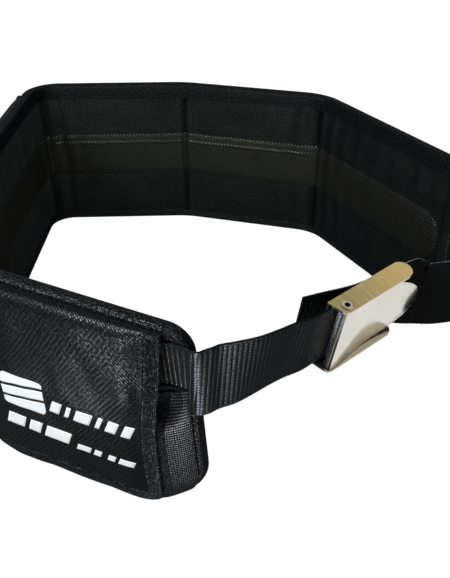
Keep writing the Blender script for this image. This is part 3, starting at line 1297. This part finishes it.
def gusset_stitches(pocket):
    """Row where the first pocket's spread side meets the ring."""
    z = steps(20.0, 104.0, 2.4)
    points = pocket.point(gusset_edge(z) + 0.2, POCKET_BACK + 0.9, z)
    back = (pocket.point(0, 0, H) - pocket.point(10, 0, H)) / 10.0
    normal = np.repeat((pocket.out * 0.75 + back * 0.66)[None, :], len(z), 0)
    ob = stitches("gusset_stitches", [(points + normal * 0.25, normal)],
                  pitch=2.6, length=1.9, radius=0.3)
    ride(ob, "belt", "edge_tape")


pockets = [Pocket(i) for i in range(6)]
for pocket in pockets:
    pocket.bag()
    pocket.mouth_tape()
    pocket.flap()
    pocket.flap_tape()
    pocket.pads()
    if pocket.first:
        printed_flap(pocket)
gusset_stitches(pockets[0])


# ---------------------------------------------------------------- CAD nodes that stay visible
def dress_node(name, node):
    mat = MAT["steel"]
    for prefix, key in (("foam_pad", "foam"), ("weight", "lead"), ("buckle_lever", "lever"),
                        ("buckle_pin", "pin")):
        if name.startswith(prefix):
            mat = MAT[key]
    mesh = node.data
    mesh.materials.clear()
    mesh.materials.append(mat)
    mesh.polygons.foreach_set("material_index", np.zeros(len(mesh.polygons), np.int32))
    if "custom_normal" in mesh.attributes:
        mesh.attributes.remove(mesh.attributes["custom_normal"])
    mesh.polygons.foreach_set("use_smooth", np.ones(len(mesh.polygons), bool))
    node.modifiers.new("weld", "WELD").merge_threshold = 0.000005
    node.modifiers.new("creases", "EDGE_SPLIT").split_angle = math.radians(32)


for name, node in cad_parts.items():
    if not node.hide_render:
        dress_node(name, node)

# ---------------------------------------------------------------- floor and world (metres)
FLOOR_HALF, FLOOR_Z = 6, -0.0012
WHITE = (1, 1, 1, 1)
CAMERA_GLOW = 1.05  # brightness of floor and world as the camera sees them


def build_floor():
    mesh = bpy.data.meshes.new("floor")
    corners = [(x * FLOOR_HALF, y * FLOOR_HALF, FLOOR_Z)
               for x, y in ((-1, -1), (1, -1), (1, 1), (-1, 1))]
    mesh.from_pydata(corners, [], [(0, 1, 2, 3)])
    ob = bpy.data.objects.new("floor", mesh)
    bpy.context.scene.collection.objects.link(ob)
    ob.visible_shadow = False
    ob.visible_diffuse = False
    ob.visible_glossy = False
    t = material_tree("pale_floor", empty=True)
    seen = t.get("LightPath", "Is Camera Ray")
    strength = t.get("MapRange", 0, {0: seen, 3: 0.05, 4: CAMERA_GLOW})
    t.node("OutputMaterial", {0: t.get("Emission", 0, {0: WHITE, 1: strength})})
    mesh.materials.append(t.block)
    return ob


def build_world():
    """Dim light that grows towards the zenith; bright to the camera only."""
    world = bpy.data.worlds.new("studio")
    bpy.context.scene.world = world
    t = Tree(world, empty=True)
    height = t.get("SeparateXYZ", 2, {0: t.get("TexCoord", "Generated")})
    sky = t.get("MapRange", 0, {0: height, 1: -0.1, 2: 0.9, 3: 0.045, 4: 0.14})
    seen = t.get("LightPath", "Is Camera Ray")
    strength = t.get("Mix", 0, {0: seen, 2: sky, 3: CAMERA_GLOW}, data_type="FLOAT")
    t.node("OutputWorld", {0: t.get("Background", 0, {0: WHITE, 1: strength})})


floor = build_floor()
build_world()

# ---------------------------------------------------------------- lights (metres)
lit = [ob for ob in bpy.data.objects
       if ob.type == "MESH" and ob != floor and not ob.hide_render]
cloths = [ob for ob in lit if ob.name not in STEEL_NAMES]


def group(name, objects):
    """Collection of the objects that a light reaches."""
    collection = bpy.data.collections.new(name)
    for ob in objects:
        collection.objects.link(ob)
    return collection


def only(*starts):
    return [ob for ob in cloths if ob.name.startswith(starts)]


def without(*starts):
    return [ob for ob in cloths if not ob.name.startswith(starts)]


steel_set = group("steel_receivers", [ob for ob in lit if ob.name in STEEL_NAMES])
cloth_set = group("cloth_receivers", cloths)
front_set = group("front_receivers", without("lining", "grip", "print", "flap_cloth", "left_strap",
                                             "right_strap"))
inner_set = group("inside_receivers", only("lining", "grip"))
strap_set = group("strap_receivers", only("left_strap"))
flap_set = group("flap_receivers", [bpy.data.objects["flap_cloth_1"]])
rear_set = group("rear_receivers", without("lining", "grip", "edge_tape", "left_strap",
                                           "flap_cloth_1", "print"))
grip_set = group("grip_receivers", [bpy.data.objects["grip_band"]])


def area(name, location, target, size, radiance, colour, receivers):
    light = bpy.data.lights.new(name, "AREA")
    light.shape = "RECTANGLE"
    light.size = size
    light.size_y = size
    light.energy = radiance * math.pi * size * size
    light.color = colour
    ob = bpy.data.objects.new(name, light)
    ob.location = location
    ob.rotation_euler = (Vector(target) - Vector(location)).to_track_quat("-Z", "Y").to_euler()
    bpy.context.scene.collection.objects.link(ob)
    ob.light_linking.receiver_collection = receivers


COOL, BLUE, REAR = (0.88, 0.96, 1.0), (0.82, 0.89, 1.0), (0.93, 0.98, 1.0)
FLAP_AT = Vector((-0.07, -0.21, 0.09))
LOW_LEFT = FLAP_AT + Vector((-0.63, -0.69, -0.346)) * 0.8
# name, location, target, size, radiance, colour, receivers
AREAS = [
    ("key_soft", (-0.52, -0.66, 0.72), (-0.08, -0.16, 0.12), 0.36, 17.0, (0.88, 0.97, 1.0),
     cloth_set),
    ("bounce_front", (-0.05, -0.86, -0.46), (0.0, -0.2, 0.1), 0.42, 6.0, COOL, front_set),
    ("bounce_strap", (-0.11, -0.86, -0.46), (-0.02, -0.2, 0.1), 0.40, 9.0, BLUE, strap_set),
    ("bounce_right", (0.20, -0.62, -0.33), (-0.01, -0.21, 0.1), 0.30, 1.5, BLUE, strap_set),
    ("low_left", tuple(LOW_LEFT), tuple(FLAP_AT), 0.26, 8.5, (0.80, 0.92, 1.0), flap_set),
    ("inside", (0.42, -0.72, 0.40), (-0.02, 0.12, 0.08), 0.35, 20.0, (0.97, 1.0, 0.93), inner_set),
    ("inside_left", (-0.42, -0.62, 0.42), (0.12, 0.06, 0.08), 0.35, 16.0, (1.0, 0.96, 0.76),
     grip_set),
    ("rear_soft", (0.55, 1.15, 0.75), (0.0, 0.1, 0.08), 0.8, 4.5, REAR, rear_set),
    ("rear_left", (-1.15, 0.45, 0.65), (-0.1, 0.0, 0.08), 0.7, 4.0, REAR, rear_set),
    ("top_back", (0.3, 0.9, 1.3), (0.0, 0.05, 0.1), 0.7, 0.7, (1.0, 0.98, 0.92), cloth_set),
]
for row in AREAS:
    area(*row)

# cards round the buckle: name, direction from it, distance, size, radiance, colour
CARDS = [
    ("card_ear", (0.15, 0.55, 0.81), 0.6, 0.5, 0.38, (1.0, 0.84, 0.46)),
    ("card_lever", (0.62, 0.17, -0.76), 0.6, 0.95, 0.78, (1.0, 0.97, 0.91)),
    ("card_front", (-0.5, -0.85, 0.1), 0.7, 0.5, 0.35, (0.8, 0.9, 1.0)),
    ("card_low", (-0.2, -0.5, -0.9), 0.7, 0.45, 0.5, (0.95, 0.92, 0.82)),
    ("card_corner", (0.70, -0.14, 0.70), 0.6, 0.5, 0.42, (1.0, 0.86, 0.52)),
]
card_target = Vector(buckle_point(30.0, 8.0, 0.0) * TO_M)
for name, direction, dist, size, radiance, colour in CARDS:
    location = card_target + Vector(direction).normalized() * dist
    area(name, tuple(location), tuple(card_target), size, radiance, colour, steel_set)

# ---------------------------------------------------------------- camera
CAMERA_Y, CAMERA_Z = -503.77, 372.07  # mm
CAMERA_DOWN = 33.99  # degrees below the horizon

cam_data = bpy.data.cameras.new("camera")
cam_data.lens = 43.598616
cam_data.sensor_width = 36.0
cam_data.clip_start = 0.01
cam = bpy.data.objects.new("camera", cam_data)
cam.location = (CENTRE_X * TO_M, CAMERA_Y * TO_M, CAMERA_Z * TO_M)
cam.rotation_euler = (math.radians(90.0 - CAMERA_DOWN), 0.0, 0.0)
bpy.context.scene.collection.objects.link(cam)
bpy.context.scene.camera = cam
bpy.context.scene.view_settings.view_transform = "Standard"
